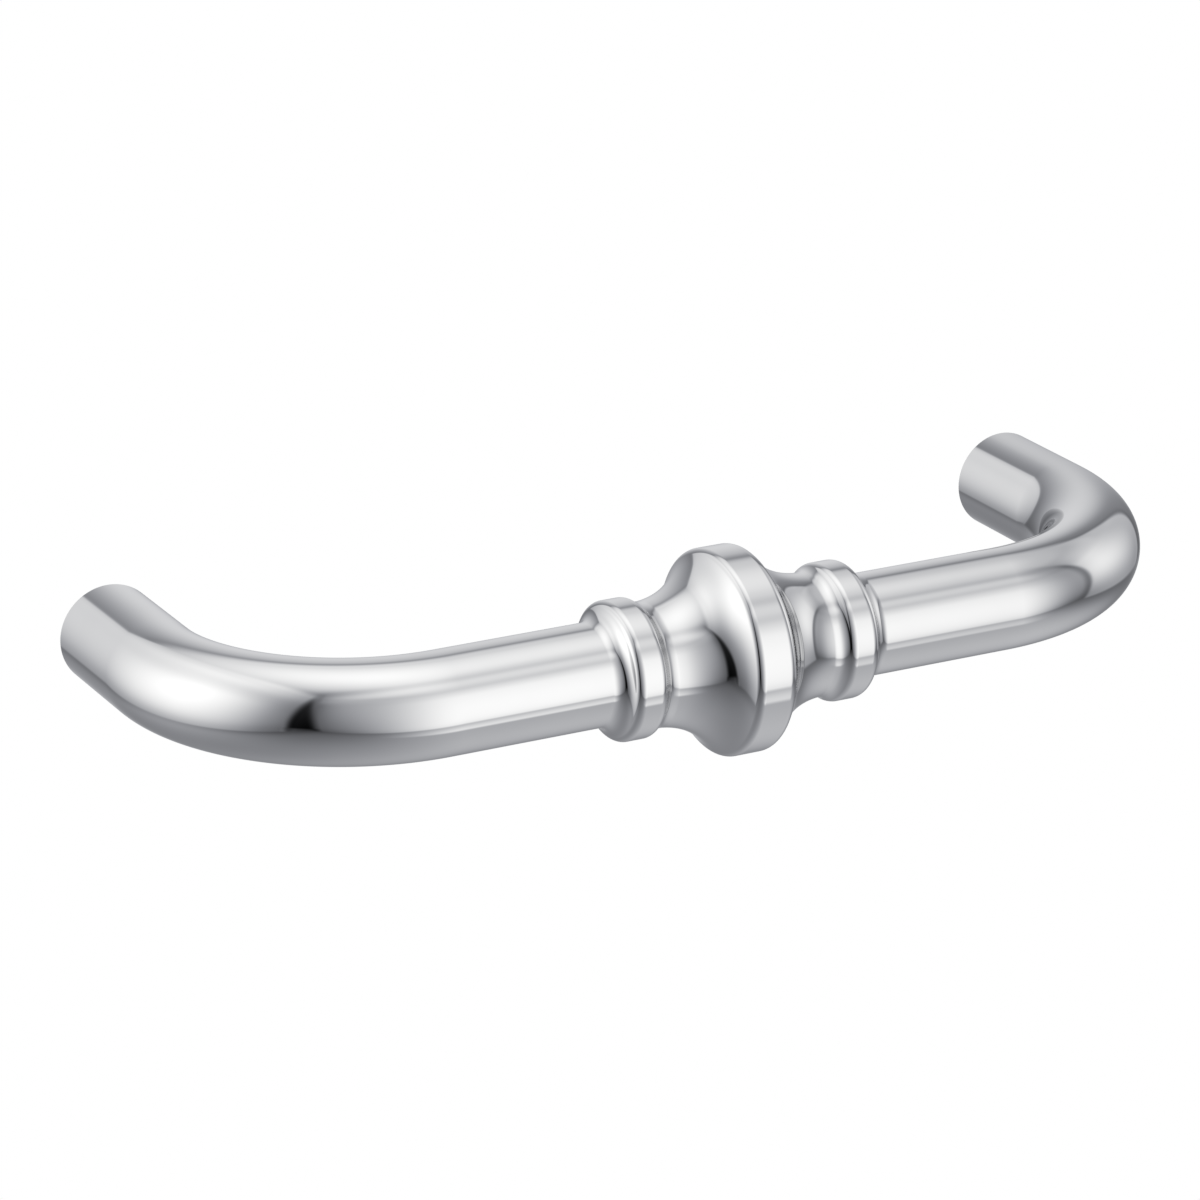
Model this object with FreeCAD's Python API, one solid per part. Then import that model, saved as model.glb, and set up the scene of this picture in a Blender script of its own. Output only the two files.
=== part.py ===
import FreeCAD, Part
import math
import os

# Drawer pull, one polished metal casting.
# Frame: the origin is midway between the two screw holes, on the plane of the two leg ends,
# which is the face of the drawer front. +X runs along the bar, +Y into the drawer front,
# +Z is up. All lengths are in millimetres.

# ---- driving dimensions -------------------------------------------------------------------
HOLE_SPACING = 101.60      # screw hole to screw hole, 4 in
ROD_RADIUS = 5.08          # round legs, bends and bar, 0.4 in across
BEND_RADIUS = 20.32        # centreline of each bend, 0.8 in
BAR_STANDOFF = 31.75       # mounting plane to the bar's axis, 1.25 in

FOOT_EDGE = 0.05           # broken edge on the rim of each leg end

HOLE_RADIUS = 1.74         # minor radius of the tapped hole for a number 8-32 machine screw
HOLE_DEPTH = 10.40         # full-diameter depth
POINT_ANGLE = 118.0        # drill point
MOUTH_RADIUS = 2.25        # countersunk mouth
MOUTH_DEPTH = 0.45

# Turned ornament at the middle of the bar. Half of it, from the middle plane outwards, is a
# tangent chain of straight lines and arcs in the (x, radius) plane; the other half mirrors it.
FLANGE_RADIUS = 10.16      # flat rim of the large disc, 0.8 in across
CHAIN = [
    # kind, length of the line or radius of the arc, turn in degrees (+ curls away from the axis)
    ("line", 1.30, 0.0),       # flat rim of the disc, half its width
    ("arc", 1.00, -35.0),      # rounded edge of the rim
    ("arc", 1.12, -21.5),
    ("arc", 6.75, 9.3),        # the long concave sweep down to the neck
    ("arc", 8.30, 11.2),
    ("arc", 8.10, 12.8),
    ("arc", 8.95, 13.5),
    ("arc", 12.0, 3.7),
    ("arc", 2.00, 7.8),        # foot of the sweep, the thinnest place of the neck
    ("arc", 3.90, 6.0),
    ("arc", 1.76, 16.2),       # cove up to the collar
    ("arc", 1.91, 16.0),
    ("arc", 1.02, -17.0),      # rounded inner edge of the collar
    ("arc", 1.07, -23.0),
    ("line", 1.63, 0.0),       # flat rim of the collar
    ("arc", 1.06, -35.0),      # rounded outer edge of the collar
    ("arc", 0.85, -32.0),
    ("close", 0.0, 0.0),       # outer face of the collar, its length closes the chain on the bar
    ("arc", 1.82, 29.0),       # cove from the collar down to the bar
    ("arc", 1.89, 38.0),
]


def chain_edges(chain, start_radius, end_radius):
    """Lines and arcs of the half profile; the "close" line takes the length that ends the
    chain at end_radius."""

    def walk(close_length):
        x, r, heading = 0.0, start_radius, 0.0
        out = []
        for kind, size, turn in chain:
            p0 = (x, r)
            if kind == "arc":
                turn_r = math.radians(turn)
                side = 1.0 if turn > 0 else -1.0
                cx = x - side * size * math.sin(heading)
                cr = r + side * size * math.cos(heading)
                mid = heading + turn_r / 2.0
                end = heading + turn_r
                pm = (cx + side * size * math.sin(mid), cr - side * size * math.cos(mid))
                x, r = cx + side * size * math.sin(end), cr - side * size * math.cos(end)
                heading = end
                out.append(("arc", p0, pm, (x, r)))
            else:
                length = close_length if kind == "close" else size
                x, r = x + length * math.cos(heading), r + length * math.sin(heading)
                out.append(("line", p0, None, (x, r)))
        return out, r, heading

    _, r0, heading_end = walk(0.0)
    _, r1, _ = walk(1.0)
    length = (end_radius - r0) / (r1 - r0)
    out, r, _ = walk(length)
    if length <= 0.05 or abs(heading_end) > 1e-6:
        raise ValueError("profile chain does not close: %.3f %.3f" % (length, math.degrees(heading_end)))
    return out


def profile_edges(chain):
    """Both halves of the ornament's profile as edges in the plane z = 0, x along the bar."""

    def v(p, sign):
        return FreeCAD.Vector(sign * p[0], p[1], 0.0)

    edges = []
    half = chain_edges(chain, FLANGE_RADIUS, ROD_RADIUS)
    for sign in (-1.0, 1.0):
        for i, (kind, p0, pm, p1) in enumerate(half):
            if i == 0:
                continue
            if kind == "arc":
                edges.append(Part.Arc(v(p0, sign), v(pm, sign), v(p1, sign)).toShape())
            else:
                edges.append(Part.LineSegment(v(p0, sign), v(p1, sign)).toShape())
    rim = half[0][3]
    edges.append(Part.LineSegment(v(rim, -1.0), v(rim, 1.0)).toShape())
    return edges, half[-1][3][0]


def bar_and_ornament():
    """The straight bar between the bends, turned with its ornament, about the bar's axis."""
    half_bar = HOLE_SPACING / 2.0 - BEND_RADIUS
    edges, x_end = profile_edges(CHAIN)
    for sign in (-1.0, 1.0):
        a = FreeCAD.Vector(sign * x_end, ROD_RADIUS, 0.0)
        b = FreeCAD.Vector(sign * half_bar, ROD_RADIUS, 0.0)
        c = FreeCAD.Vector(sign * half_bar, 0.0, 0.0)
        edges.append(Part.LineSegment(a, b).toShape())
        edges.append(Part.LineSegment(b, c).toShape())
    edges.append(Part.LineSegment(FreeCAD.Vector(-half_bar, 0.0, 0.0),
                                  FreeCAD.Vector(half_bar, 0.0, 0.0)).toShape())
    face = Part.Face(Part.Wire(Part.__sortEdges__(edges)))
    solid = face.revolve(FreeCAD.Vector(0, 0, 0), FreeCAD.Vector(1, 0, 0), 360.0)
    solid.translate(FreeCAD.Vector(0.0, -BAR_STANDOFF, 0.0))
    return solid


def bend(sign):
    """Quarter bend between the bar and one leg."""
    cx = sign * (HOLE_SPACING / 2.0 - BEND_RADIUS)
    cy = -BAR_STANDOFF + BEND_RADIUS
    section = Part.Face(Part.Wire(Part.makeCircle(
        ROD_RADIUS, FreeCAD.Vector(cx, -BAR_STANDOFF, 0.0), FreeCAD.Vector(1, 0, 0))))
    return section.revolve(FreeCAD.Vector(cx, cy, 0.0), FreeCAD.Vector(0, 0, 1), sign * 90.0)


def leg(sign):
    """Straight leg, its end cut flat on the mounting plane with a small rounded rim."""
    x = sign * HOLE_SPACING / 2.0
    y0 = -BAR_STANDOFF + BEND_RADIUS
    e = FOOT_EDGE
    pts = [FreeCAD.Vector(x, y0, 0), FreeCAD.Vector(x + ROD_RADIUS, y0, 0),
           FreeCAD.Vector(x + ROD_RADIUS, -e, 0)]
    mid = FreeCAD.Vector(x + ROD_RADIUS - e + e * math.cos(math.pi / 4),
                         -e + e * math.sin(math.pi / 4), 0)
    last = FreeCAD.Vector(x + ROD_RADIUS - e, 0, 0)
    edges = [Part.LineSegment(pts[0], pts[1]).toShape(),
             Part.LineSegment(pts[1], pts[2]).toShape(),
             Part.Arc(pts[2], mid, last).toShape(),
             Part.LineSegment(last, FreeCAD.Vector(x, 0, 0)).toShape(),
             Part.LineSegment(FreeCAD.Vector(x, 0, 0), pts[0]).toShape()]
    face = Part.Face(Part.Wire(edges))
    return face.revolve(FreeCAD.Vector(x, 0, 0), FreeCAD.Vector(0, 1, 0), 360.0)


def screw_hole(sign):
    """Blind tapped hole, cut to its minor diameter, with a drill point and a countersunk mouth."""
    x = sign * HOLE_SPACING / 2.0
    point = HOLE_RADIUS / math.tan(math.radians(POINT_ANGLE / 2.0))
    pts = [FreeCAD.Vector(x, 0.5, 0),
           FreeCAD.Vector(x + MOUTH_RADIUS, 0.5, 0),
           FreeCAD.Vector(x + MOUTH_RADIUS, 0.0, 0),
           FreeCAD.Vector(x + HOLE_RADIUS, -MOUTH_DEPTH, 0),
           FreeCAD.Vector(x + HOLE_RADIUS, -HOLE_DEPTH, 0),
           FreeCAD.Vector(x, -HOLE_DEPTH - point, 0)]
    face = Part.Face(Part.makePolygon(pts + [pts[0]]))
    return face.revolve(FreeCAD.Vector(x, 0, 0), FreeCAD.Vector(0, 1, 0), 360.0)


pull = bar_and_ornament()
for side in (-1.0, 1.0):
    pull = pull.fuse(bend(side)).fuse(leg(side))
pull = pull.removeSplitter()
for side in (-1.0, 1.0):
    pull = pull.cut(screw_hole(side))
if len(pull.Solids) != 1:
    raise ValueError("the pull is not one solid: %d" % len(pull.Solids))
pull = pull.Solids[0]
if not pull.isValid():
    raise ValueError("the pull is not a valid solid")

os.makedirs("parts", exist_ok=True)
pull.exportStep("parts/pull.step")

box = pull.optimalBoundingBox()
print("pull: volume %.1f mm3, x %.2f..%.2f, y %.2f..%.2f, z %.2f..%.2f" % (
    pull.Volume, box.XMin, box.XMax, box.YMin, box.YMax, box.ZMin, box.ZMax))
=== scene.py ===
import math

import bmesh
import bpy
import numpy as np
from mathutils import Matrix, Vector


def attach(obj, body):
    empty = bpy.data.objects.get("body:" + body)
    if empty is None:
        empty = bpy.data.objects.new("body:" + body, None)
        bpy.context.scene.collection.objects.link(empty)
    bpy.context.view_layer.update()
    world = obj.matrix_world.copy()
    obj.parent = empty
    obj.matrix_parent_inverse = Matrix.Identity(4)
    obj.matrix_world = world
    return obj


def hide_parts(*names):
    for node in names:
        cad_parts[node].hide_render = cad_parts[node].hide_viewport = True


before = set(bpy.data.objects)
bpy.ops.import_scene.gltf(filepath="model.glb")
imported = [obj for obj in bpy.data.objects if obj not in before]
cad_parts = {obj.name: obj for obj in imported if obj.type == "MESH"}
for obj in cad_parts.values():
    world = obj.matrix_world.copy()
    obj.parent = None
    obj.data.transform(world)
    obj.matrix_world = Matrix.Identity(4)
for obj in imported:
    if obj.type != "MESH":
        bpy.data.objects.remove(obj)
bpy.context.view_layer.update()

MM = 0.001

# ---------------------------------------------------------------- the pull's mesh
HOLE_SPACING = 101.60
ROD_RADIUS = 5.08
BEND_RADIUS = 20.32
BAR_STANDOFF = 31.75
FOOT_EDGE = 0.05
HOLE_RADIUS = 1.74          # thread's minor radius
THREAD_RADIUS = 2.083       # thread's major radius
PITCH = 0.79375             # 32 turns to the inch
THREAD_DEPTH = 8.9
HOLE_DEPTH = 10.40
POINT_ANGLE = 118.0
MOUTH_RADIUS = 2.25
MOUTH_DEPTH = 0.45
FLANGE_RADIUS = 10.16
CHAIN = [
    ("line", 1.30, 0.0),
    ("arc", 1.00, -35.0),
    ("arc", 1.12, -21.5),
    ("arc", 6.75, 9.3),
    ("arc", 8.30, 11.2),
    ("arc", 8.10, 12.8),
    ("arc", 8.95, 13.5),
    ("arc", 12.0, 3.7),
    ("arc", 2.00, 7.8),
    ("arc", 3.90, 6.0),
    ("arc", 1.76, 16.2),
    ("arc", 1.91, 16.0),
    ("arc", 1.02, -17.0),
    ("arc", 1.07, -23.0),
    ("line", 1.63, 0.0),
    ("arc", 1.06, -35.0),
    ("arc", 0.85, -32.0),
    ("close", 0.0, 0.0),
    ("arc", 1.82, 29.0),
    ("arc", 1.89, 38.0),
]
AROUND = 96                 # points round the legs and bends
FINE = 192                  # points round the turned ornament
HOLE_AROUND = 48            # points round the tapped holes
THREAD_ROWS = (0, 3, 5, 7, 8, 9, 11, 13)     # rows along the thread's profile, sixteenths of the pitch


def half_profile():
    """Points (x, radius, heading) of the ornament's half profile, from the middle outwards."""

    def walk(close_length, step_deg=None):
        x, r, h = 0.0, FLANGE_RADIUS, 0.0
        out = [(x, r, h)]
        for kind, size, turn in CHAIN:
            if kind == "arc":
                t = math.radians(turn)
                side = 1.0 if t > 0 else -1.0
                cx, cr = x - side * size * math.sin(h), r + side * size * math.cos(h)
                n = max(2, math.ceil(abs(turn) / 2.2), math.ceil(abs(t) * size / 0.28))
                for i in range(1, n + 1):
                    a = h + t * i / n
                    out.append((cx + side * size * math.sin(a), cr - side * size * math.cos(a), a))
                x, r, h = out[-1]
            else:
                length = close_length if kind == "close" else size
                n = max(1, math.ceil(length / 0.4))
                for i in range(1, n + 1):
                    out.append((x + length * i / n * math.cos(h), r + length * i / n * math.sin(h), h))
                x, r, h = out[-1]
        return out

    r0 = walk(0.0)[-1][1]
    r1 = walk(1.0)[-1][1]
    return walk((ROD_RADIUS - r0) / (r1 - r0))


def thread_radius(y, theta, hand):
    """Radius of the tapped wall at depth y (mm, negative into the leg), a right-hand V thread."""
    turn = (-y / PITCH - hand * theta / (2 * math.pi)) % 1.0
    d = np.abs(turn - 0.5) * PITCH            # distance from the middle of a groove
    depth = THREAD_RADIUS - HOLE_RADIUS
    flat = PITCH / 16.0
    v = np.clip((flat + depth * math.tan(math.radians(30.0)) - d) / math.tan(math.radians(30.0)), 0.0, depth)
    fade = np.clip((-y - MOUTH_DEPTH) / 0.35, 0, 1) * np.clip((THREAD_DEPTH + y) / 0.8, 0, 1)
    return HOLE_RADIUS + v * fade


def build_pull():
    half = HOLE_SPACING / 2.0
    bar_x = half - BEND_RADIUS
    bend_y = -BAR_STANDOFF + BEND_RADIUS
    rings, normals, kinds = [], [], []

    def ring(centre, out_dir, radius, n_rad, n_axis, axis_dir, kind="tube", count=AROUND):
        """One ring of points and their normals; count is the number of points round it."""
        th = np.arange(count) * 2 * math.pi / count
        o = np.array([out_dir[0], out_dir[1], 0.0])
        z = np.array([0.0, 0.0, 1.0])
        t = np.array([axis_dir[0], axis_dir[1], 0.0])
        radial = np.cos(th)[:, None] * o + np.sin(th)[:, None] * z
        rad = radius(th) if callable(radius) else np.full(count, float(radius))
        rings.append(np.array([centre[0], centre[1], 0.0]) + radial * rad[:, None])
        n = radial * n_rad + t * n_axis
        normals.append(n / np.linalg.norm(n, axis=1)[:, None])
        kinds.append(kind)

    def end_of_leg(sign):
        """Rings from the drill point out to the top of the foot's rounded rim."""
        x = sign * half
        o = (sign, 0.0)
        y_dir = (0.0, 1.0)
        tip = HOLE_RADIUS / math.tan(math.radians(POINT_ANGLE / 2))
        out = []
        for k in (0.04, 0.35, 0.7, 1.0):
            out.append((HOLE_RADIUS * k, -HOLE_DEPTH - tip * (1 - k), "cone"))
        for y in (-HOLE_DEPTH, -MOUTH_DEPTH):
            out.append((None, y, "wall"))
        for k in (0.0, 0.34, 0.67, 1.0):
            out.append((HOLE_RADIUS + (MOUTH_RADIUS - HOLE_RADIUS) * k, -MOUTH_DEPTH * (1 - k), "mouth"))
        for r in (MOUTH_RADIUS, 3.0, 4.0, ROD_RADIUS - FOOT_EDGE):
            out.append((r, 0.0, "face"))
        for i in range(5):
            b = math.radians(90 - 22.5 * i)
            out.append((ROD_RADIUS - FOOT_EDGE + FOOT_EDGE * math.cos(b), -FOOT_EDGE + FOOT_EDGE * math.sin(b), ("rim", b)))
        return x, o, out

    def add_leg_end(sign, order):
        x, o, items = end_of_leg(sign)
        items = items if order > 0 else items[::-1]
        for r, y, kind in items:
            few = HOLE_AROUND if kind in ("wall", "cone", "mouth") or (kind == "face" and r < 3.5) else AROUND
            if kind == "wall":
                ring((x, y), o, HOLE_RADIUS, -1.0, 0.0, (0.0, 1.0), kind, few)
            elif kind == "cone":
                ring((x, y), o, r, -math.cos(math.radians(POINT_ANGLE / 2)), math.sin(math.radians(POINT_ANGLE / 2)),
                     (0.0, 1.0), kind, few)
            elif kind == "mouth":
                ring((x, y), o, r, -MOUTH_DEPTH, MOUTH_RADIUS - HOLE_RADIUS, (0.0, 1.0), kind, few)
            elif kind == "face":
                ring((x, y), o, r, 0.0, 1.0, (0.0, 1.0), kind, few)
            else:
                ring((x, y), o, r, math.cos(kind[1]), math.sin(kind[1]), (0.0, 1.0), "rim")

    # left leg, from its drill point to the bend
    add_leg_end(-1.0, 1)
    for y in np.linspace(-FOOT_EDGE, bend_y, 6)[1:]:
        ring((-half, y), (-1.0, 0.0), ROD_RADIUS, 1.0, 0.0, (0.0, -1.0))
    for a in np.radians(np.linspace(0, 90, 61)[1:]):
        ring((-bar_x - BEND_RADIUS * math.cos(a), bend_y - BEND_RADIUS * math.sin(a)),
             (-math.cos(a), -math.sin(a)), ROD_RADIUS, 1.0, 0.0, (math.sin(a), -math.cos(a)))
    prof = half_profile()
    x_end = prof[-1][0]
    for x in np.linspace(-bar_x, -x_end, 7)[1:-1]:
        ring((x, -BAR_STANDOFF), (0.0, -1.0), ROD_RADIUS, 1.0, 0.0, (1.0, 0.0))
    for x, r, h in prof[::-1]:
        ring((-x, -BAR_STANDOFF), (0.0, -1.0), r, math.cos(h), math.sin(h), (1.0, 0.0), count=FINE)
    for x, r, h in prof[1:]:
        ring((x, -BAR_STANDOFF), (0.0, -1.0), r, math.cos(h), -math.sin(h), (1.0, 0.0), count=FINE)
    for x in np.linspace(x_end, bar_x, 7)[1:]:
        ring((x, -BAR_STANDOFF), (0.0, -1.0), ROD_RADIUS, 1.0, 0.0, (1.0, 0.0))
    for a in np.radians(np.linspace(90, 0, 61)[1:]):
        ring((bar_x + BEND_RADIUS * math.cos(a), bend_y - BEND_RADIUS * math.sin(a)),
             (math.cos(a), -math.sin(a)), ROD_RADIUS, 1.0, 0.0, (math.sin(a), math.cos(a)))
    for y in np.linspace(bend_y, -FOOT_EDGE, 6)[1:-1]:
        ring((half, y), (1.0, 0.0), ROD_RADIUS, 1.0, 0.0, (0.0, 1.0))
    add_leg_end(1.0, -1)

    # two rings that meet at an edge of the section share their vertices
    starts, verts, total = [], [], 0
    for i, r in enumerate(rings):
        if i and len(r) == len(rings[i - 1]) and np.abs(r - rings[i - 1]).max() < 1e-6:
            starts.append(starts[-1])
        else:
            starts.append(total)
            verts.append(r)
            total += len(r)
    # the tapped walls: rows of points that follow the helix, so that each edge of the thread's
    # profile is one clean line; rows end at the ring of the mouth and at that of the drill point
    quads, quad_n, tris, tri_n = [], [], [], []
    per = len(THREAD_ROWS)
    for i in range(len(rings) - 1):
        if kinds[i] != "wall" or kinds[i + 1] != "wall":
            continue
        top, low = (i, i + 1) if rings[i][0, 1] > rings[i + 1][0, 1] else (i + 1, i)
        # theta grows from the outward direction towards +Z, so the sense of a right-hand thread
        # flips with the side that the outward direction is on
        hand = 1 if rings[i][:, 0].mean() > 0 else -1
        count = len(rings[i])
        row = np.arange(-2 * per, (int(HOLE_DEPTH / PITCH) + 3) * per)
        turn = row // per + np.array(THREAD_ROWS)[row % per] / 16.0
        th = np.arange(count) * 2 * math.pi / count
        radial = np.stack([hand * np.cos(th), 0 * th, np.sin(th)], 1)
        y = -PITCH * (turn[:, None] + hand * th / (2 * math.pi))
        r = thread_radius(y, th, hand)
        upper, lower = y > -MOUTH_DEPTH - 0.02, y < -HOLE_DEPTH + 0.02
        inner = ~(upper | lower)
        ids = np.where(upper, starts[top], starts[low]) + np.arange(count)
        ids[inner] = total + np.arange(inner.sum())
        points = radial * r[..., None] + np.stack([np.full(y.shape, hand * half), y, 0 * y], -1)
        verts.append(points[inner])
        total += int(inner.sum())
        # after a full turn each row goes on as the row one pitch further along
        after = np.clip(np.arange(len(row)) + hand * per, 0, len(row) - 1)
        ids = np.concatenate([ids, ids[after, :1]], 1)
        slope = np.diff(r, axis=0) / np.diff(y, axis=0)
        slope = np.concatenate([slope, slope[np.minimum(after[:-1], len(slope) - 1), :1]], 1)
        nor = np.concatenate([-radial, -radial[:1]]) + slope[..., None] * np.array([0.0, 1.0, 0.0])
        nor /= np.linalg.norm(nor, axis=2)[..., None]
        for m in range(len(row) - 1):
            for j in range(count):
                f = [ids[m, j], ids[m, j + 1], ids[m + 1, j + 1], ids[m + 1, j]]
                n = [nor[m, j], nor[m, j + 1], nor[m, j + 1], nor[m, j]]
                keep = [k for k in range(4) if f[k] != f[k - 1]]
                if len(keep) == 4:
                    quads.append(np.array([f]))
                    quad_n.append(np.array([n]))
                elif len(keep) == 3:
                    tris.append(np.array([[f[k] for k in keep]]))
                    tri_n.append(np.array([[n[k] for k in keep]]))

    tip = HOLE_RADIUS / math.tan(math.radians(POINT_ANGLE / 2))
    verts.append(np.array([[-half, -HOLE_DEPTH - tip, 0.0], [half, -HOLE_DEPTH - tip, 0.0]]))
    verts = np.concatenate(verts) * MM

    for i in range(len(rings) - 1):
        a, b = starts[i], starts[i + 1]
        if a == b or (kinds[i] == "wall" and kinds[i + 1] == "wall"):
            continue
        n0, n1 = normals[i], normals[i + 1]
        if len(n0) == len(n1):
            j = np.arange(len(n0))
            k = (j + 1) % len(n0)
            q = [n0[j], n0[k], n1[k], n1[j]]
            quads.append(np.stack([a + j, a + k, b + k, b + j], 1))
            quad_n.append(np.stack(q, 1))
        else:                                                       # one ring has twice the points
            c, nc, f, nf = (a, n0, b, n1) if len(n0) < len(n1) else (b, n1, a, n0)
            j = np.arange(len(nc))
            k = (j + 1) % len(nc)
            lo, mid, hi = 2 * j, 2 * j + 1, (2 * j + 2) % len(nf)
            tris += [np.stack([c + j, f + lo, f + mid], 1), np.stack([c + j, f + mid, c + k], 1),
                     np.stack([c + k, f + mid, f + hi], 1)]
            tri_n += [np.stack([nc[j], nf[lo], nf[mid]], 1), np.stack([nc[j], nf[mid], nc[k]], 1),
                      np.stack([nc[k], nf[mid], nf[hi]], 1)]
    for first, n, v_tip in ((starts[0], normals[0], len(verts) - 2), (starts[-1], normals[-1], len(verts) - 1)):
        j = np.arange(len(n))
        k = (j + 1) % len(n)
        tris.append(np.stack([first + j, first + k, np.full(len(n), v_tip)], 1))
        tri_n.append(np.stack([n[j], n[k], (n[j] + n[k]) / 2], 1))

    def outwards(faces, loops):
        """Turn every face so that it faces the way of its normals."""
        faces, loops = np.concatenate(faces), np.concatenate(loops)
        p = verts[faces]
        fn = np.cross(p[:, 2] - p[:, 0], p[:, -1] - p[:, 1])
        wrong = np.sum(fn * loops.mean(1), axis=1) < 0
        faces[wrong] = faces[wrong][:, ::-1]
        loops[wrong] = loops[wrong][:, ::-1]
        return faces, loops

    quads, qn = outwards(quads, quad_n)
    tri, tn = outwards(tris, tri_n)
    me = bpy.data.meshes.new("drawer_pull")
    me.from_pydata(verts.tolist(), [], quads.tolist() + tri.tolist())
    me.polygons.foreach_set("use_smooth", [True] * len(me.polygons))
    ln = np.concatenate([qn.reshape(-1, 3), tn.reshape(-1, 3)])
    ln /= np.linalg.norm(ln, axis=1)[:, None]
    me.normals_split_custom_set(ln.tolist())
    me.update()
    obj = bpy.data.objects.new("drawer_pull", me)
    bpy.context.scene.collection.objects.link(obj)
    return obj


# ---------------------------------------------------------------- materials
class Nodes:
    """Small helper for writing shader arithmetic as expressions."""

    def __init__(self, tree):
        self.tree = tree

    def put(self, socket, value):
        if isinstance(value, bpy.types.NodeSocket):
            self.tree.links.new(value, socket)
        else:
            socket.default_value = value

    def math(self, op, *values, clamp=False):
        n = self.tree.nodes.new("ShaderNodeMath")
        n.operation = op
        n.use_clamp = clamp
        for i, v in enumerate(values):
            self.put(n.inputs[i], v)
        return n.outputs[0]

    def dot(self, vector, constant):
        n = self.tree.nodes.new("ShaderNodeVectorMath")
        n.operation = "DOT_PRODUCT"
        self.put(n.inputs[0], vector)
        n.inputs[1].default_value = constant
        return n.outputs["Value"]

    def ramp(self, value, low, high, to_low=0.0, to_high=1.0):
        n = self.tree.nodes.new("ShaderNodeMapRange")
        n.interpolation_type = "SMOOTHSTEP"
        self.put(n.inputs["Value"], value)
        n.inputs["From Min"].default_value = low
        n.inputs["From Max"].default_value = high
        n.inputs["To Min"].default_value = to_low
        n.inputs["To Max"].default_value = to_high
        return n.outputs["Result"]


def chrome_material():
    mat = bpy.data.materials.new("polished_chrome")
    mat.use_nodes = True
    tree = mat.node_tree
    bsdf = next(n for n in tree.nodes if n.type == "BSDF_PRINCIPLED")
    k = Nodes(tree)
    coord = tree.nodes.new("ShaderNodeTexCoord").outputs["Object"]
    bsdf.inputs["Metallic"].default_value = 1.0

    # inside the two tapped holes the plating is thin and dull
    sep = tree.nodes.new("ShaderNodeSeparateXYZ")
    tree.links.new(coord, sep.inputs[0])
    x = k.math("SUBTRACT", k.math("ABSOLUTE", sep.outputs["X"]), HOLE_SPACING / 2 * MM)
    z = sep.outputs["Z"]
    r = k.math("SQRT", k.math("ADD", k.math("MULTIPLY", x, x), k.math("MULTIPLY", z, z)))
    inside = k.math("MULTIPLY", k.ramp(r, 2.10 * MM, 2.24 * MM, 1.0, 0.0),
                    k.ramp(sep.outputs["Y"], -0.55 * MM, -0.25 * MM, 1.0, 0.0))
    inside = k.math("MULTIPLY", inside, k.ramp(sep.outputs["Y"], -12.2 * MM, -11.8 * MM, 0.0, 1.0))

    # polishing haze: broad faint patches and fine grain in the gloss
    broad = tree.nodes.new("ShaderNodeTexNoise")
    broad.inputs["Scale"].default_value = 160.0
    broad.inputs["Detail"].default_value = 3.0
    tree.links.new(coord, broad.inputs["Vector"])
    fine = tree.nodes.new("ShaderNodeTexNoise")
    fine.inputs["Scale"].default_value = 1800.0
    fine.inputs["Detail"].default_value = 2.0
    tree.links.new(coord, fine.inputs["Vector"])
    haze = k.ramp(broad.outputs["Fac"], 0.35, 0.75, 0.010, 0.020)
    haze = k.math("MULTIPLY_ADD", fine.outputs["Fac"], 0.005, haze)
    rough = tree.nodes.new("ShaderNodeMix")
    rough.data_type = "FLOAT"
    tree.links.new(inside, rough.inputs["Factor"])
    tree.links.new(haze, rough.inputs[2])
    rough.inputs[3].default_value = 0.38

    # the flat ends of the legs are turned to length: fine concentric marks under the plating
    faced = k.math("MULTIPLY", k.ramp(sep.outputs["Y"], -0.045 * MM, -0.010 * MM), k.ramp(r, 2.22 * MM, 2.30 * MM))
    marks = tree.nodes.new("ShaderNodeTexNoise")
    marks.noise_dimensions = "1D"
    marks.inputs["Scale"].default_value = 4200.0
    marks.inputs["Detail"].default_value = 2.0
    tree.links.new(r, marks.inputs["W"])
    end = tree.nodes.new("ShaderNodeMix")
    end.data_type = "FLOAT"
    tree.links.new(faced, end.inputs["Factor"])
    tree.links.new(rough.outputs[0], end.inputs[2])
    tree.links.new(k.ramp(marks.outputs["Fac"], 0.3, 0.7, 0.13, 0.22), end.inputs[3])
    tree.links.new(end.outputs[0], bsdf.inputs["Roughness"])
    bump = tree.nodes.new("ShaderNodeBump")
    bump.inputs["Strength"].default_value = 0.5
    bump.inputs["Distance"].default_value = 0.004 * MM
    tree.links.new(k.math("MULTIPLY", marks.outputs["Fac"], faced), bump.inputs["Height"])
    tree.links.new(bump.outputs[0], bsdf.inputs["Normal"])

    tone = tree.nodes.new("ShaderNodeMix")
    tone.data_type = "RGBA"
    tree.links.new(k.ramp(broad.outputs["Fac"], 0.3, 0.7), tone.inputs["Factor"])
    tone.inputs[6].default_value = (0.543, 0.546, 0.554, 1.0)
    tone.inputs[7].default_value = (0.551, 0.554, 0.562, 1.0)
    col = tree.nodes.new("ShaderNodeMix")
    col.data_type = "RGBA"
    tree.links.new(inside, col.inputs["Factor"])
    tree.links.new(tone.outputs[2], col.inputs[6])
    col.inputs[7].default_value = (0.36, 0.355, 0.35, 1.0)
    tree.links.new(col.outputs[2], bsdf.inputs["Base Color"])
    return mat


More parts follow.
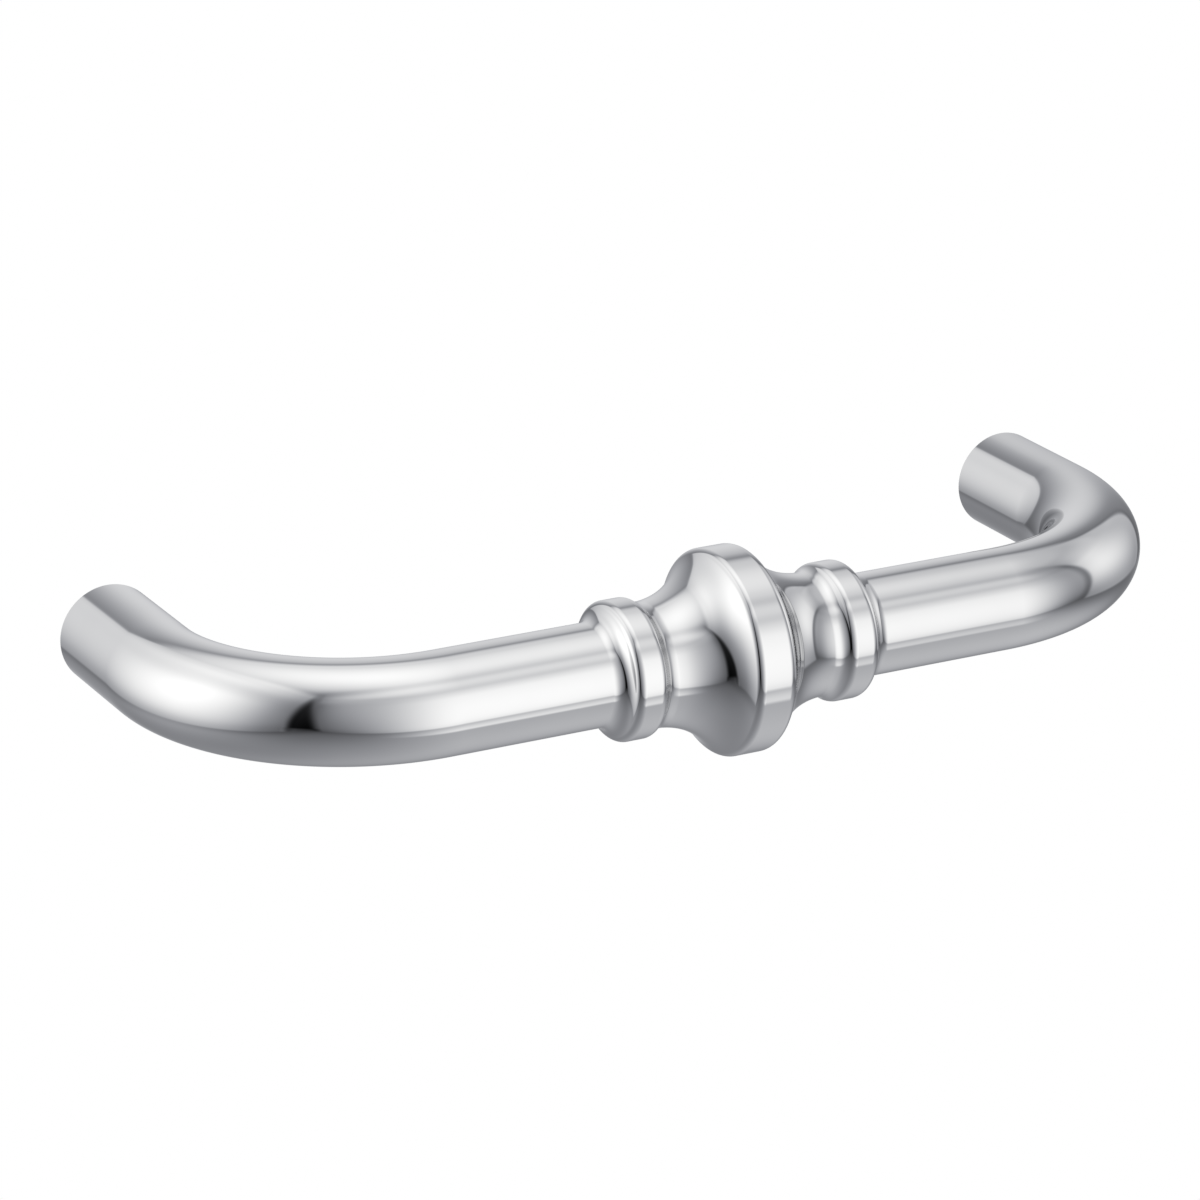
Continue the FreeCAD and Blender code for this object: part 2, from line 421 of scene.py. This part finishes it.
# ---------------------------------------------------------------- the studio
# A light tent of soft-lit flats round the object, on the inside of a large rounded shell that
# only the chrome sees. Each flat has soft edges (planes through or near the object that cut the
# shell), a centre and a half width in azimuth and elevation, degrees, and a smooth tone across
# it. Azimuth 0 is in front of the object, 90 is to its right.
FLATS = [
    ("ceiling",
     [],
     "xy", None,
     [(0.801834, 0.11721, -0.543865, 0.0562913),
      (0.173755, -0.278017, 0.0425211),
      (-0.611666, 0.154331),
      (-0.271273,)],
     [(0.172241, [("edge", (-0.0022, 0.1805, 0.9836), 0.7793, 0.1201)]),
      (-0.0144723, [("line", (-0.9034, 0.1855, -0.3866), 0, 0.1157)])]),
    ("upper right",
     [("edge", (-0.0632, -0.1317, -0.9893), -0.8264, 0.0528),
      ("edge", (0.5687, 0.8224, -0.0137), 0, 0.0904),
      ("edge", (0.9014, -0.4295, 0.0541), 0, 0.2618)],
     (92, 50), (50, 15),
     [(0.733825, 0.224824, 0.0633318),
      (0.0992451, -0.131274, -0.0344653),
      (-0.105359, 0.41063),
      (0.186463,)],
     [(0.0280065, [("line", (0.6002, -0.0928, -0.7945), 0, 0.1353)]),
      (0.11876, [("line", (0.1812, 0.6202, -0.7633), 0, 0.1353)]),
      (-0.0561371, [("line", (0.1812, 0.6202, -0.7633), 0, 0.0443)])]),
    ("back",
     [("edge", (0.9608, 0.2546, -0.11), 0, 0.0306),
      ("edge", (-0.5676, 0.8231, -0.02), 0, 0.0346),
      ("edge", (0.1812, 0.6202, -0.7633), 0, 0.167)],
     (160, 35), (10, 32),
     [(0.740429, 0.0586459, -0.174976),
      (-0.167831, 0.0348856, 0.0585976),
      (-0.341819, -0.0566613, 0.16838),
      (0.282499, 0.00125808),
      (-0.099775,)],
     [(-0.103566, [("line", (0.1812, 0.6202, -0.7633), 0, 0.0525)]),
      (0.0988897, [("line", (0.9608, 0.2546, -0.11), 0, 0.0367)]),
      (0.198705, [("line", (-0.5676, 0.8231, -0.02), 0, 0.0954)]),
      (0.0592052, [("line", (0.9608, 0.2546, -0.11), 0, 0.0176)]),
      (-0.0660615, [("line", (-0.0409, 0.4465, 0.8938), 0.0627, 0.2)])]),
    ("right",
     [("edge", (0.3599, 0.9259, -0.1144), 0, 0.074),
      ("edge", (0.5676, -0.8231, 0.02), 0, 0.0346),
      ("edge", (0.6002, -0.0928, -0.7945), 0, 0.1512)],
     (98, 30), (10, 32),
     [(0.849409, 0.0956226, -0.323267, 0.1705, 0.32501),
      (-0.226833, -0.0993325, 0.322998, 0.214137),
      (-0.186657, 0.00524924, 0.0696693),
      (0.138414, 0.164355),
      (0.0117903,)],
     [(-0.452112, [("line", (0.3599, 0.9259, -0.1144), 0, 0.0417)]),
      (0.059712, [("line", (-0.5676, 0.8231, -0.02), 0, 0.0954)]),
      (-0.0470163, [("line", (0.6002, -0.0928, -0.7945), 0, 0.1353)])]),
    ("upper front",
     [("edge", (0.7604, -0.6484, 0.0377), 0, 0.0437),
      ("edge", (-0.3599, -0.9259, 0.1144), 0, 0.074),
      ("edge", (0.1166, -0.8547, -0.5059), 0, 0.1682)],
     (15, 55), (50, 15),
     [(0.875636, 0.231754, 0.034187),
      (0.0162889, -0.00583559, 0.00311649),
      (0.0467542, 0.0214039),
      (-0.0158175,)],
     [(0.0507351, [("line", (0.1166, -0.8547, -0.5059), 0, 0.0945)])]),
    ("front",
     [("edge", (0.7604, -0.6484, 0.0377), 0, 0.0437),
      ("edge", (-0.3599, -0.9259, 0.1144), 0, 0.074),
      ("edge", (-0.0968, -0.0816, -0.992), -0.6395, 0.2559)],
     (14, 55), (10, 32),
     [(0.951924, -0.0314181, -0.0412968),
      (0.315394, -0.0221647, 0.00264042),
      (-0.775904, 0.231791, 0.0315053),
      (-0.686577, 0.0550447, -0.00159689),
      (0.311339, 0.0671994, -0.1044),
      (0.309732, -0.0229347, -0.108628),
      (-0.00933658, -0.22512),
      (0.214519,)],
     [(-0.124227, [("line", (0.3599, 0.9259, -0.1144), 0, 0.0417)]),
      (-0.0537836, [("line", (-0.0968, -0.0816, -0.992), -0.6395, 0.0525)]),
      (-0.0329935, [("line", (0.0772, -0.4642, 0.8823), 0, 0.0945)]),
      (0.0297214, [("line", (0.7604, -0.6484, 0.0377), 0, 0.0301)])]),
    ("upper left",
     [("edge", (-0.6309, 0.7671, 0.1161), 0, 0.0597),
      ("edge", (-0.9608, -0.2546, 0.11), 0, 0.0306),
      ("edge", (-0.9034, 0.1855, -0.3866), 0, 0.0658)],
     (-110, 60), (55, 20),
     [(0.959565, -0.0186593, 0.0130817, -0.00290545),
      (-0.100618, 0.167197, 0.078529),
      (-0.196791, 0.131096),
      (0.0832292,)],
     [(-0.047011, [("line", (-0.9034, 0.1855, -0.3866), 0, 0.1157)]),
      (-0.00992322, [("line", (0.9608, 0.2546, -0.11), 0, 0.0367)]),
      (0.0457373, [("line", (-0.9034, 0.1855, -0.3866), 0, 0.0443)]),
      (0.0556556, [("line", (0.9608, 0.2546, -0.11), 0, 0.0176)])]),
    ("left",
     [("edge", (-0.6309, 0.7671, 0.1161), 0, 0.0597),
      ("edge", (-0.9608, -0.2546, 0.11), 0, 0.0306),
      ("edge", (-0.6274, 0.2209, -0.7467), -0.0817, 0.2327)],
     (-110, 60), (5, 38),
     [(1.00454, 0.0979683, -0.121923, 0.0477044, -0.102257),
      (0.121025, 0.0653223, 0.000168372, -0.00230042),
      (-0.517275, 0.120774, -0.0074561),
      (-0.337168, -0.119052),
      (0.00401512,)],
     [(-0.0378242, [("line", (0.9608, 0.2546, -0.11), 0, 0.0367)]),
      (0.11311, [("line", (-0.6309, 0.7671, 0.1161), 0, 0.1327)]),
      (0.0439435, [("line", (-0.5456, 0.1537, 0.8238), 0, 0.0945)]),
      (0.0444839, [("line", (0.9608, 0.2546, -0.11), 0, 0.0176)]),
      (0.00506205, [("line", (-0.6274, 0.2209, -0.7467), -0.0817, 0.0443)])]),
    ("gap",
     [("edge", (0.6309, -0.7671, -0.1161), 0, 0.0597),
      ("edge", (-0.7604, 0.6484, -0.0377), 0, 0.0437),
      ("edge", (-0.0051, -0.0054, -1), -0.8341, 0.0267)],
     (-45, 10), (20, 30),
     [(0.103874, 0.0662353),
      (-0.0445408,)],
     [(0.209374, [("line", (0.7604, -0.6484, 0.0377), 0, 0.0301)])]),
    ("gap floor",
     [("edge", (0.6309, -0.7671, -0.1161), 0, 0.0597),
      ("edge", (-0.7604, 0.6484, -0.0377), 0, 0.0437),
      ("edge", (-0.0159, -0.0029, -0.9999), 0.2621, 0.0352)],
     (-45, 10), (-20, 5),
     [(0.215781, -0.068004),
      (-0.0913994,)],
     []),
    ("floor",
     [("edge", (0.5456, -0.1537, -0.8238), 0, 0.0285),
      ("edge", (-0.0772, 0.4642, -0.8823), 0, 0.0365),
      ("edge", (-0.3565, -0.0384, -0.9335), 0, 0.0277),
      ("edge", (0.0409, -0.4465, -0.8938), -0.0627, 0.0424)],
     "xy", None,
     [(0.584943, -0.00380351, -0.0598921, -0.048304, -0.0350472),
      (0.210547, -0.242391, -0.33729, -0.339866),
      (0.313905, 0.257737, -0.467829),
      (-0.413964, -0.0660447),
      (-0.270383,)],
     [(0.0940868, [("edge", (0.1967, -0.6547, 0.7298), 0.0384, 0.0411), ("edge", (0.996, 0.077, 0.0455), 0, 0.3397), ("edge", (-0.7297, -0.6816, 0.0542), 0, 0.2208)]),
      (0.156505, [("edge", (0.1967, -0.6547, 0.7298), 0.0384, 0.0411), ("edge", (0.996, 0.077, 0.0455), 0, 0.3397), ("edge", (-0.7297, -0.6816, 0.0542), 0, 0.2208), ("line", (0.1967, -0.6547, 0.7298), 0.0384, 0.1774)]),
      (-0.129792, [("line", (0.3565, 0.0384, 0.9335), 0, 0.2)]),
      (-0.0352735, [("line", (0.0772, -0.4642, 0.8823), 0, 0.0945)]),
      (-0.0703894, [("line", (-0.5456, 0.1537, 0.8238), 0, 0.0945)]),
      (0.300268, [("line", (-0.0409, 0.4465, 0.8938), 0.0627, 0.2)]),
      (-0.381708, [("line", (-0.0409, 0.4465, 0.8938), 0.0627, 0.2), ("edge", (-0.8882, 0.4572, -0.0461), 0.4701, 0.45)]),
      (-0.180302, [("edge", (-0.8882, 0.4572, -0.0461), 0.4701, 0.45)])]),
]
STUDIO_GAIN = 0.995 / 0.55
SHADE, SHADE_TINT, BRIGHT_TINT = 0.40, (0.985, 1.0, 1.062, 1.0), (1.005, 1.0, 0.985, 1.0)
TENT_EYE = (0.0, -0.016, 0.0)       # the point in the object that the directions are taken from
TENT_HALF = (1.980, 1.649, 1.705)                # half the tent's width, depth and height, metres
TENT_MIDDLE = (-0.198, -0.323, 0.524)            # its middle, from that point
PALE = (0.80, 0.80, 0.80, 1.0)      # floor and backdrop, away from the painted pool of light
PAINTED_POOL_MIDDLE = (0.33, 0.62, -0.20)          # middle of the pool of light painted on the floor, metres


def studio():
    bm = bmesh.new()
    bmesh.ops.create_uvsphere(bm, u_segments=128, v_segments=64, radius=1.0)
    for v in bm.verts:
        v.co = Vector(c * h + m for c, h, m in zip(v.co, TENT_HALF, TENT_MIDDLE))
    me = bpy.data.meshes.new("light_tent")
    bm.to_mesh(me)
    bm.free()
    tent = bpy.data.objects.new("light_tent", me)
    tent.location = TENT_EYE
    bpy.context.scene.collection.objects.link(tent)
    tent.visible_camera = False
    mat = bpy.data.materials.new("light_tent")
    mat.use_nodes = True
    mat.cycles.emission_sampling = "NONE"
    me.materials.append(mat)
    tree = mat.node_tree
    tree.nodes.clear()
    k = Nodes(tree)
    towards = tree.nodes.new("ShaderNodeVectorMath")
    towards.operation = "NORMALIZE"
    tree.links.new(tree.nodes.new("ShaderNodeTexCoord").outputs["Object"], towards.inputs[0])
    d = towards.outputs[0]
    sep = tree.nodes.new("ShaderNodeSeparateXYZ")
    tree.links.new(d, sep.inputs[0])
    x, y, z = sep.outputs
    to_deg = 180.0 / math.pi
    azimuth = k.math("MULTIPLY", k.math("ARCTAN2", x, k.math("MULTIPLY", y, -1.0)), to_deg)
    elevation = k.math("MULTIPLY", k.math("ARCSINE", z), to_deg)

    def factor(kind, normal, offset, width):
        along = k.dot(d, normal)
        if kind == "edge":
            return k.ramp(along, offset - width, offset + width)
        u = k.math("MULTIPLY_ADD", along, 1.0 / width, -offset / width)
        return k.math("EXPONENT", k.math("MULTIPLY", k.math("MULTIPLY", u, u), -1.0))

    def product(factors):
        out = None
        for f in factors:
            v = factor(*f)
            out = v if out is None else k.math("MULTIPLY", out, v)
        return out

    tone = None
    for name, edges, across, upward, rows, extras in FLATS:
        if across == "xy":
            p, q = x, y
        else:
            p = k.math("WRAP", k.math("SUBTRACT", azimuth, across[0]), 180.0, -180.0)
            p = k.math("DIVIDE", p, across[1])
            q = k.math("MULTIPLY_ADD", elevation, 1.0 / upward[1], -upward[0] / upward[1])
        value = None
        for row in reversed(rows):
            line = row[-1]
            for c in reversed(row[:-1]):
                line = k.math("MULTIPLY_ADD", q, line, c)
            value = line if value is None else k.math("MULTIPLY_ADD", value, p, line)
        for amount, factors in extras:
            value = k.math("MULTIPLY_ADD", product(factors), amount, value)
        if tone is None:
            tone = value
        else:
            m = product(edges)
            tone = k.math("MULTIPLY_ADD", k.math("SUBTRACT", value, tone), m, tone)
    tone = k.math("MAXIMUM", tone, 0.02)
    light = k.math("POWER", k.math("MULTIPLY_ADD", tone, 1 / 1.055, 0.055 / 1.055), 2.4)
    light = k.math("MULTIPLY", light, STUDIO_GAIN)
    glow = tree.nodes.new("ShaderNodeEmission")
    tint = tree.nodes.new("ShaderNodeMix")      # the dim parts of the tent are a little cooler
    tint.data_type = "RGBA"
    tree.links.new(k.ramp(tone, SHADE, 1.0), tint.inputs["Factor"])
    tint.inputs[6].default_value = SHADE_TINT
    tint.inputs[7].default_value = BRIGHT_TINT
    tree.links.new(tint.outputs[2], glow.inputs["Color"])
    tree.links.new(light, glow.inputs["Strength"])
    out = tree.nodes.new("ShaderNodeOutputMaterial")
    tree.links.new(glow.outputs[0], out.inputs["Surface"])

    # the plain backdrop that the camera sees
    world = bpy.data.worlds.new("backdrop")
    bpy.context.scene.world = world
    world.use_nodes = True
    world.node_tree.nodes["Background"].inputs["Color"].default_value = PALE


def floor():
    """A pale glowing floor with a broad soft pool of white light painted on it behind the object."""
    me = bpy.data.meshes.new("floor")
    s, h = 3.0, PAINTED_POOL_MIDDLE[2]
    me.from_pydata([(-s, -s, h), (s, -s, h), (s, s, h), (-s, s, h)], [], [(0, 1, 2, 3)])
    obj = bpy.data.objects.new("floor", me)
    bpy.context.scene.collection.objects.link(obj)
    mat = bpy.data.materials.new("pale_floor")
    mat.use_nodes = True
    tree = mat.node_tree
    tree.nodes.clear()
    k = Nodes(tree)
    away = tree.nodes.new("ShaderNodeVectorMath")
    away.operation = "DISTANCE"
    tree.links.new(tree.nodes.new("ShaderNodeTexCoord").outputs["Object"], away.inputs[0])
    away.inputs[1].default_value = PAINTED_POOL_MIDDLE
    # painted light: the floor's glow is white in the pool and PALE beyond it
    painted_pool = tree.nodes.new("ShaderNodeMix")
    painted_pool.data_type = "RGBA"
    tree.links.new(k.ramp(away.outputs["Value"], 0.50, 0.80), painted_pool.inputs["Factor"])
    painted_pool.inputs[6].default_value = (1.0, 1.0, 1.0, 1.0)
    painted_pool.inputs[7].default_value = PALE
    glow = tree.nodes.new("ShaderNodeEmission")
    tree.links.new(painted_pool.outputs[2], glow.inputs["Color"])
    out = tree.nodes.new("ShaderNodeOutputMaterial")
    tree.links.new(glow.outputs[0], out.inputs["Surface"])
    me.materials.append(mat)
    obj.visible_glossy = False
    return obj


def camera():
    cam = bpy.data.cameras.new("camera")
    cam.lens = 147.037
    cam.sensor_width = 36.0
    cam.sensor_fit = "HORIZONTAL"
    cam.clip_start = 0.01
    cam.clip_end = 20.0
    obj = bpy.data.objects.new("camera", cam)
    obj.location = Vector((-216.445, -415.994, 165.007)) * MM
    look = Vector((-5.406, -15.875, 0.914)) * MM - obj.location
    obj.rotation_euler = look.to_track_quat("-Z", "Y").to_euler()
    bpy.context.scene.collection.objects.link(obj)
    bpy.context.scene.camera = obj


pull = build_pull()
pull.data.materials.append(chrome_material())
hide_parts("pull")
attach(pull, "root")

studio()
floor()
camera()
bpy.context.scene.view_settings.view_transform = "Standard"
